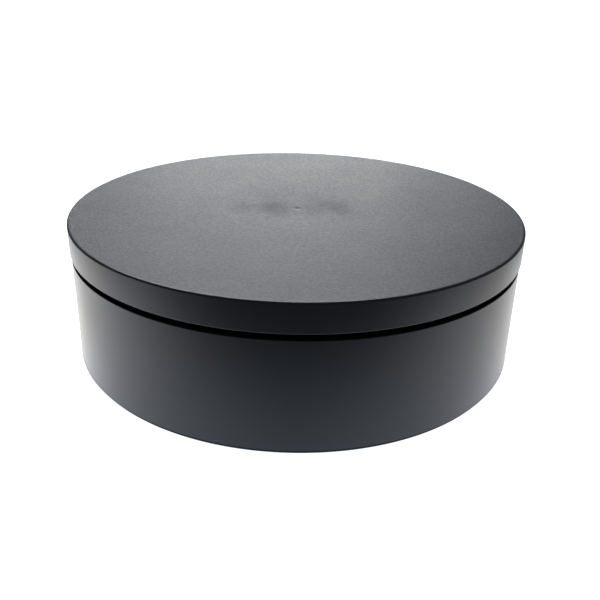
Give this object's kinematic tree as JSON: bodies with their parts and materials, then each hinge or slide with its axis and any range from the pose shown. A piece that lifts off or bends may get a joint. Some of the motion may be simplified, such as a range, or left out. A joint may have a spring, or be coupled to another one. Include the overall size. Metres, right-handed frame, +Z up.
{
  "type": "motorised display turntable",
  "caption": "Low round drum stand whose flat top disc turns on a geared electric drive; rocker switch and power socket in a recess at the back.",
  "frame": {"origin": "on the table, below the spindle, at the level of the feet's undersides", "axes": "+Z up along the spindle, +Y towards the back, where the switch and the power socket are, +X to the right seen from the front"},
  "size_m": [0.2, 0.2, 0.0621],
  "materials": {
    "platter_plastic": "fine spark-eroded grain, charcoal",
    "base_plastic": "satin charcoal",
    "cover_plastic": "fine grain, charcoal",
    "gearbox_plastic": "plain dark moulding",
    "gear_nylon": "natural acetal",
    "steel": "turned",
    "ball_steel": "polished",
    "screw_steel": "zinc plated",
    "brass": "pressed",
    "bronze": "sintered",
    "magnet": "ferrite",
    "armature": "laminations and copper",
    "black_plastic": "plain black moulding",
    "rocker_plastic": "satin black",
    "board": "green solder resist",
    "capacitor_sleeve": "shrink sleeve",
    "header_plastic": "ivory nylon",
    "black_lead": "insulation",
    "red_lead": "insulation",
    "foot_rubber": "matt black"
  },
  "bodies": {
    "base": {"base_shell": "base_plastic", "bearing_outer_ring": "steel", "bearing_shields": "steel", "roller_pins": "steel", "output_bush": "bronze", "gear_pins": "steel", "gearbox_tray": "gearbox_plastic", "gearbox_cover": "gearbox_plastic", "gearbox_screws": "screw_steel", "motor_can": "steel", "motor_magnet": "magnet", "motor_bush": "bronze", "motor_end_cap": "black_plastic", "motor_terminals": "brass", "motor_screws": "screw_steel", "switch_body": "black_plastic", "switch_terminals": "brass", "jack_body": "black_plastic", "jack_pin": "ball_steel", "jack_nut": "screw_steel", "jack_terminal": "brass", "circuit_board": "board", "board_capacitor": "capacitor_sleeve", "board_chip": "black_plastic", "board_headers": "header_plastic", "board_screws": "screw_steel", "jack_lead": "black_lead", "switch_lead": "red_lead", "switched_lead": "red_lead", "motor_leads": "red_lead", "bottom_cover": "cover_plastic", "cover_screws": "screw_steel", "rubber_foot_1": "foot_rubber", "rubber_foot_2": "foot_rubber", "rubber_foot_3": "foot_rubber", "rubber_foot_4": "foot_rubber"},
    "platter_group": {"platter": "platter_plastic", "spindle": "steel", "spindle_flange_screws": "screw_steel", "spindle_screw": "screw_steel", "spindle_washer": "screw_steel", "bearing_inner_ring": "steel", "ring_gear": "gear_nylon", "ring_gear_screws": "screw_steel"},
    "ball_cage": {"bearing_balls": "ball_steel", "bearing_cage": "brass"},
    "roller_1": {"support_roller_1": "gear_nylon"},
    "roller_2": {"support_roller_2": "gear_nylon"},
    "roller_3": {"support_roller_3": "gear_nylon"},
    "roller_4": {"support_roller_4": "gear_nylon"},
    "roller_5": {"support_roller_5": "gear_nylon"},
    "roller_6": {"support_roller_6": "gear_nylon"},
    "output_gear_shaft": {"drive_pinion": "gear_nylon", "output_shaft": "steel", "output_gear": "gear_nylon"},
    "second_compound_gear": {"second_gear": "gear_nylon"},
    "first_compound_gear": {"first_gear": "gear_nylon"},
    "motor_rotor": {"motor_armature": "armature", "motor_pinion": "brass"},
    "rocker": {"switch_rocker": "rocker_plastic"}
  },
  "joints": [
    {"name": "platter_spin", "type": "hinge", "parent": "base", "child": "platter_group", "pos_m": [0, 0, 0.0595], "axis": [0, 0, 1], "continuous": true},
    {"name": "ball_cage_spin", "type": "hinge", "parent": "base", "child": "ball_cage", "pos_m": [0, 0, 0.0395], "axis": [0, 0, 1], "continuous": true},
    {"name": "roller_1_spin", "type": "hinge", "parent": "base", "child": "roller_1", "pos_m": [0.07275, 0.042, 0.0506], "axis": [0.866, 0.5, 0], "continuous": true},
    {"name": "roller_2_spin", "type": "hinge", "parent": "base", "child": "roller_2", "pos_m": [0, 0.084, 0.0506], "axis": [0, 1, 0], "continuous": true},
    {"name": "roller_3_spin", "type": "hinge", "parent": "base", "child": "roller_3", "pos_m": [-0.07275, 0.042, 0.0506], "axis": [-0.866, 0.5, 0], "continuous": true},
    {"name": "roller_4_spin", "type": "hinge", "parent": "base", "child": "roller_4", "pos_m": [-0.07275, -0.042, 0.0506], "axis": [-0.866, -0.5, 0], "continuous": true},
    {"name": "roller_5_spin", "type": "hinge", "parent": "base", "child": "roller_5", "pos_m": [0, -0.084, 0.0506], "axis": [0, -1, 0], "continuous": true},
    {"name": "roller_6_spin", "type": "hinge", "parent": "base", "child": "roller_6", "pos_m": [0.07275, -0.042, 0.0506], "axis": [0.866, -0.5, 0], "continuous": true},
    {"name": "output_spin", "type": "hinge", "parent": "base", "child": "output_gear_shaft", "pos_m": [0, -0.054, 0.04], "axis": [0, 0, 1], "continuous": true},
    {"name": "second_gear_spin", "type": "hinge", "parent": "base", "child": "second_compound_gear", "pos_m": [-0.01805, -0.054, 0.03], "axis": [0, 0, 1], "continuous": true},
    {"name": "first_gear_spin", "type": "hinge", "parent": "base", "child": "first_compound_gear", "pos_m": [-0.02558, -0.04097, 0.028], "axis": [0, 0, 1], "continuous": true},
    {"name": "motor_spin", "type": "hinge", "parent": "base", "child": "motor_rotor", "pos_m": [-0.04063, -0.04097, 0.018], "axis": [0, 0, 1], "continuous": true},
    {"name": "switch_rock", "type": "hinge", "parent": "base", "child": "rocker", "pos_m": [-0.012, 0.088, 0.025], "axis": [0, 0, 1], "range_deg": [0, 22]}
  ],
  "couplings": [
    {"joint": "ball_cage_spin", "follows": "platter_spin", "ratio": 0.3677},
    {"joint": "roller_1_spin", "follows": "platter_spin", "ratio": -10.5},
    {"joint": "roller_2_spin", "follows": "platter_spin", "ratio": -10.5},
    {"joint": "roller_3_spin", "follows": "platter_spin", "ratio": -10.5},
    {"joint": "roller_4_spin", "follows": "platter_spin", "ratio": -10.5},
    {"joint": "roller_5_spin", "follows": "platter_spin", "ratio": -10.5},
    {"joint": "roller_6_spin", "follows": "platter_spin", "ratio": -10.5},
    {"joint": "output_spin", "follows": "platter_spin", "ratio": 10},
    {"joint": "second_gear_spin", "follows": "platter_spin", "ratio": -40},
    {"joint": "first_gear_spin", "follows": "platter_spin", "ratio": 160},
    {"joint": "motor_spin", "follows": "platter_spin", "ratio": -640}
  ]
}
